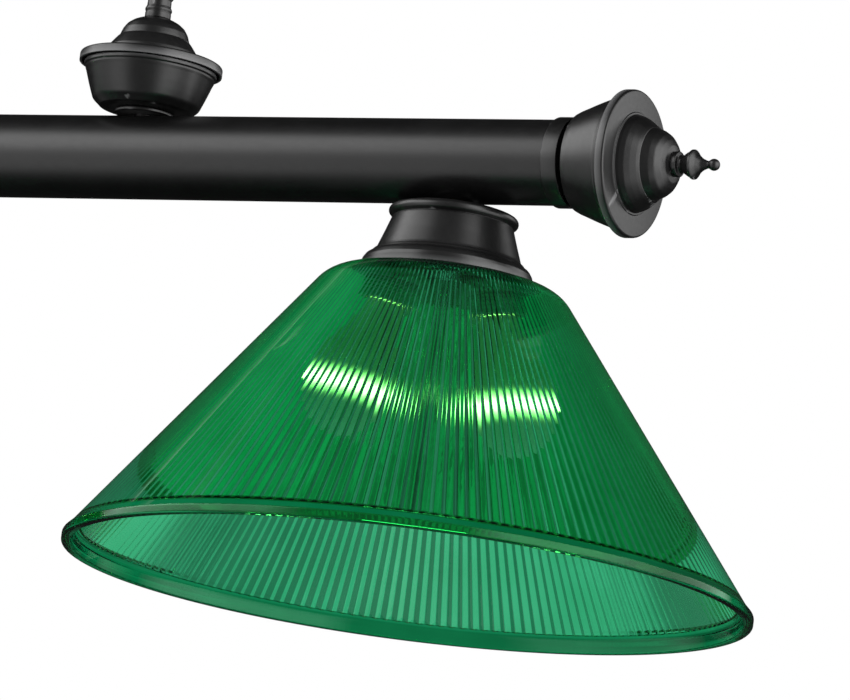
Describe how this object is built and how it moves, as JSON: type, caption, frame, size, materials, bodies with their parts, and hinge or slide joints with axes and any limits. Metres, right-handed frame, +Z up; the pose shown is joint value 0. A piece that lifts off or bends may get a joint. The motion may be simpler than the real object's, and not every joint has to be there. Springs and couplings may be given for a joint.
{
  "type": "pool table lamp",
  "caption": "Hanging pool table lamp: round black bar on chains, with conical ribbed green shades in a row, lamp holders, bulbs and finials.",
  "frame": {"origin": "in the ceiling plane, midway between the two canopies", "axes": "+Z up out of the ceiling plane, +X along the bar, +Y across it"},
  "size_m": [1.516, 0.356, 0.5128],
  "materials": {
    "black_steel": "satin black powder coat",
    "green_acrylic": "transparent, glossy outside, ribbed inside",
    "zinc": "zinc plated",
    "brass": "machined",
    "white_thermoset": "moulded white",
    "bulb_glass": "frosted",
    "bulb_cap": "rolled thread",
    "insulation": "wire insulation"
  },
  "bodies": {
    "ceiling": {"ceiling_strap_left": "zinc", "canopy_left": "black_steel", "canopy_collar_left": "black_steel", "canopy_loop_left": "black_steel", "ceiling_strap_right": "zinc", "canopy_right": "black_steel", "canopy_collar_right": "black_steel", "canopy_loop_right": "black_steel"},
    "swing": {"chain_link_left_1": "black_steel", "chain_link_right_1": "black_steel"},
    "chain_left": {"chain_link_left_2": "black_steel", "chain_link_left_3": "black_steel"},
    "chain_right": {"chain_link_right_2": "black_steel", "chain_link_right_3": "black_steel"},
    "level": {"chain_link_left_4": "black_steel", "chain_link_right_4": "black_steel"},
    "bar": {"bar_tube": "black_steel", "wiring_harness": "insulation", "end_collar_left": "black_steel", "end_bell_left": "black_steel", "end_cover_left": "black_steel", "end_stud_left": "zinc", "hanger_washer_left": "black_steel", "hanger_cup_left": "black_steel", "hanger_cover_left": "black_steel", "hanger_locknut_left": "zinc", "hanger_loop_left": "black_steel", "end_collar_right": "black_steel", "end_bell_right": "black_steel", "end_cover_right": "black_steel", "end_stud_right": "zinc", "hanger_washer_right": "black_steel", "hanger_cup_right": "black_steel", "hanger_cover_right": "black_steel", "hanger_locknut_right": "zinc", "hanger_loop_right": "black_steel", "fitter_left": "black_steel", "fitter_nipple_left": "brass", "socket_left": "white_thermoset", "shade_left": "green_acrylic", "fitter_centre": "black_steel", "fitter_nipple_centre": "brass", "socket_centre": "white_thermoset", "shade_centre": "green_acrylic", "fitter_right": "black_steel", "fitter_nipple_right": "brass", "socket_right": "white_thermoset", "shade_right": "green_acrylic"},
    "finial_left": {"end_finial_left": "black_steel"},
    "finial_right": {"end_finial_right": "black_steel"},
    "ring_left": {"shade_ring_left": "white_thermoset"},
    "bulb_left": {"bulb_glass_left": "bulb_glass", "bulb_cap_left": "bulb_cap"},
    "ring_centre": {"shade_ring_centre": "white_thermoset"},
    "bulb_centre": {"bulb_glass_centre": "bulb_glass", "bulb_cap_centre": "bulb_cap"},
    "ring_right": {"shade_ring_right": "white_thermoset"},
    "bulb_right": {"bulb_glass_right": "bulb_glass", "bulb_cap_right": "bulb_cap"}
  },
  "joints": [
    {"name": "swing_across", "type": "hinge", "parent": "ceiling", "child": "swing", "pos_m": [0, 0, -0.062], "axis": [1, 0, 0], "range_deg": [-25, 25]},
    {"name": "sway_along", "type": "hinge", "parent": "swing", "child": "chain_left", "pos_m": [-0.3884, 0, -0.09225], "axis": [0, 1, 0], "range_deg": [-25, 25]},
    {"name": "sway_along_right", "type": "hinge", "parent": "swing", "child": "chain_right", "pos_m": [0.3884, 0, -0.09225], "axis": [0, 1, 0], "range_deg": [-25, 25]},
    {"name": "keep_level", "type": "hinge", "parent": "chain_left", "child": "level", "pos_m": [-0.3884, 0, -0.15475], "axis": [0, 1, 0], "range_deg": [-25, 25]},
    {"name": "bar_tilt", "type": "hinge", "parent": "level", "child": "bar", "pos_m": [0, 0, -0.186], "axis": [1, 0, 0], "range_deg": [-20, 20]},
    {"name": "finial_left_turn", "type": "hinge", "parent": "bar", "child": "finial_left", "pos_m": [-0.7101, 0, -0.28875], "axis": [1, 0, 0], "continuous": true},
    {"name": "finial_right_turn", "type": "hinge", "parent": "bar", "child": "finial_right", "pos_m": [0.7101, 0, -0.28875], "axis": [1, 0, 0], "continuous": true},
    {"name": "ring_left_turn", "type": "hinge", "parent": "bar", "child": "ring_left", "pos_m": [-0.58, 0, -0.35875], "axis": [0, 0, 1], "continuous": true},
    {"name": "bulb_left_turn", "type": "hinge", "parent": "bar", "child": "bulb_left", "pos_m": [-0.58, 0, -0.37275], "axis": [0, 0, 1], "continuous": true},
    {"name": "ring_centre_turn", "type": "hinge", "parent": "bar", "child": "ring_centre", "pos_m": [0, 0, -0.35875], "axis": [0, 0, 1], "continuous": true},
    {"name": "bulb_centre_turn", "type": "hinge", "parent": "bar", "child": "bulb_centre", "pos_m": [0, 0, -0.37275], "axis": [0, 0, 1], "continuous": true},
    {"name": "ring_right_turn", "type": "hinge", "parent": "bar", "child": "ring_right", "pos_m": [0.58, 0, -0.35875], "axis": [0, 0, 1], "continuous": true},
    {"name": "bulb_right_turn", "type": "hinge", "parent": "bar", "child": "bulb_right", "pos_m": [0.58, 0, -0.37275], "axis": [0, 0, 1], "continuous": true}
  ],
  "couplings": [
    {"joint": "sway_along_right", "follows": "sway_along", "ratio": 1},
    {"joint": "keep_level", "follows": "sway_along", "ratio": -1}
  ]
}
